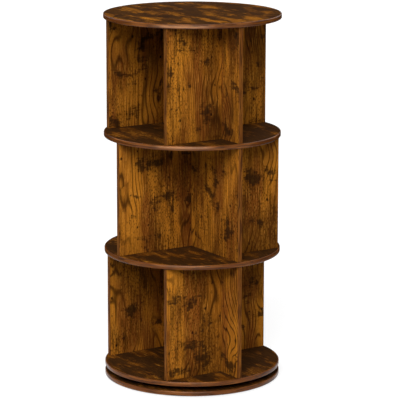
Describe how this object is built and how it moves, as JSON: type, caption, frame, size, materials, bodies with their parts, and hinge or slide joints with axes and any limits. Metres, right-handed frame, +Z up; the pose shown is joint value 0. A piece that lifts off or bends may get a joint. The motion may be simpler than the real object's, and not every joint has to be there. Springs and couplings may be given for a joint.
{
  "type": "revolving bookcase",
  "caption": "Round revolving bookcase: upright dividers between round shelves make open compartments on all sides, and the whole stack turns on a ring bearing above a round base.",
  "frame": {"origin": "on the floor, under the middle of the base board, on the turning axis", "axes": "+Z up along the turning axis; the main dividers lie along Y, and the bottom and top tiers' half dividers point along +X"},
  "size_m": [0.46, 0.46, 0.96],
  "materials": {
    "rustic_board": "rustic brown melamine with dark streaks, satin, lighter reddish edge band",
    "rustic_divider": "rustic brown melamine with upright grain, dark knots and blotches, satin",
    "bearing_aluminium": "plain turned aluminium",
    "ball_cage_steel": "bright steel balls in a steel strip cage",
    "zinc_plated_steel": "zinc plated",
    "cast_zinc": "bare die cast zinc, matt",
    "foot_rubber": "matt black"
  },
  "bodies": {
    "base": {"base_board": "rustic_board", "bearing_outer_ring": "bearing_aluminium", "base_bolt_1": "zinc_plated_steel", "base_bolt_2": "zinc_plated_steel", "base_bolt_3": "zinc_plated_steel", "base_bolt_4": "zinc_plated_steel", "glide_foot_1": "foot_rubber", "glide_foot_2": "foot_rubber", "glide_foot_3": "foot_rubber", "glide_foot_4": "foot_rubber", "glide_foot_5": "foot_rubber", "glide_foot_6": "foot_rubber"},
    "carousel": {"bottom_shelf": "rustic_board", "lower_shelf": "rustic_board", "upper_shelf": "rustic_board", "top_board": "rustic_board", "bottom_main_divider": "rustic_divider", "bottom_half_divider": "rustic_divider", "bottom_short_front_divider": "rustic_divider", "bottom_short_back_divider": "rustic_divider", "middle_main_divider": "rustic_divider", "middle_half_divider": "rustic_divider", "middle_short_front_divider": "rustic_divider", "middle_short_back_divider": "rustic_divider", "top_main_divider": "rustic_divider", "top_half_divider": "rustic_divider", "top_short_front_divider": "rustic_divider", "top_short_back_divider": "rustic_divider", "bearing_inner_ring": "bearing_aluminium", "ring_screw_1": "zinc_plated_steel", "ring_screw_2": "zinc_plated_steel", "ring_screw_3": "zinc_plated_steel", "ring_screw_4": "zinc_plated_steel", "bottom_cam_bolt_lower_front": "zinc_plated_steel", "bottom_cam_bolt_lower_back": "zinc_plated_steel", "bottom_cam_bolt_upper_front": "zinc_plated_steel", "bottom_cam_bolt_upper_back": "zinc_plated_steel", "middle_cam_bolt_lower_front": "zinc_plated_steel", "middle_cam_bolt_lower_back": "zinc_plated_steel", "middle_cam_bolt_upper_front": "zinc_plated_steel", "middle_cam_bolt_upper_back": "zinc_plated_steel", "top_cam_bolt_lower_front": "zinc_plated_steel", "top_cam_bolt_lower_back": "zinc_plated_steel", "top_cam_bolt_upper_front": "zinc_plated_steel", "top_cam_bolt_upper_back": "zinc_plated_steel", "bottom_cam_lock_lower_front": "cast_zinc", "bottom_cam_lock_lower_back": "cast_zinc", "bottom_cam_lock_upper_front": "cast_zinc", "bottom_cam_lock_upper_back": "cast_zinc", "middle_cam_lock_lower_front": "cast_zinc", "middle_cam_lock_lower_back": "cast_zinc", "middle_cam_lock_upper_front": "cast_zinc", "middle_cam_lock_upper_back": "cast_zinc", "top_cam_lock_lower_front": "cast_zinc", "top_cam_lock_lower_back": "cast_zinc", "top_cam_lock_upper_front": "cast_zinc", "top_cam_lock_upper_back": "cast_zinc"},
    "ball_cage": {"bearing_ball_cage": "ball_cage_steel"}
  },
  "joints": [
    {"name": "carousel_turn", "type": "hinge", "parent": "base", "child": "carousel", "pos_m": [0, 0, 0.0205], "axis": [0, 0, 1], "continuous": true},
    {"name": "ball_cage_turn", "type": "hinge", "parent": "base", "child": "ball_cage", "pos_m": [0, 0, 0.0205], "axis": [0, 0, 1], "continuous": true}
  ],
  "couplings": [
    {"joint": "ball_cage_turn", "follows": "carousel_turn", "ratio": 0.5}
  ]
}
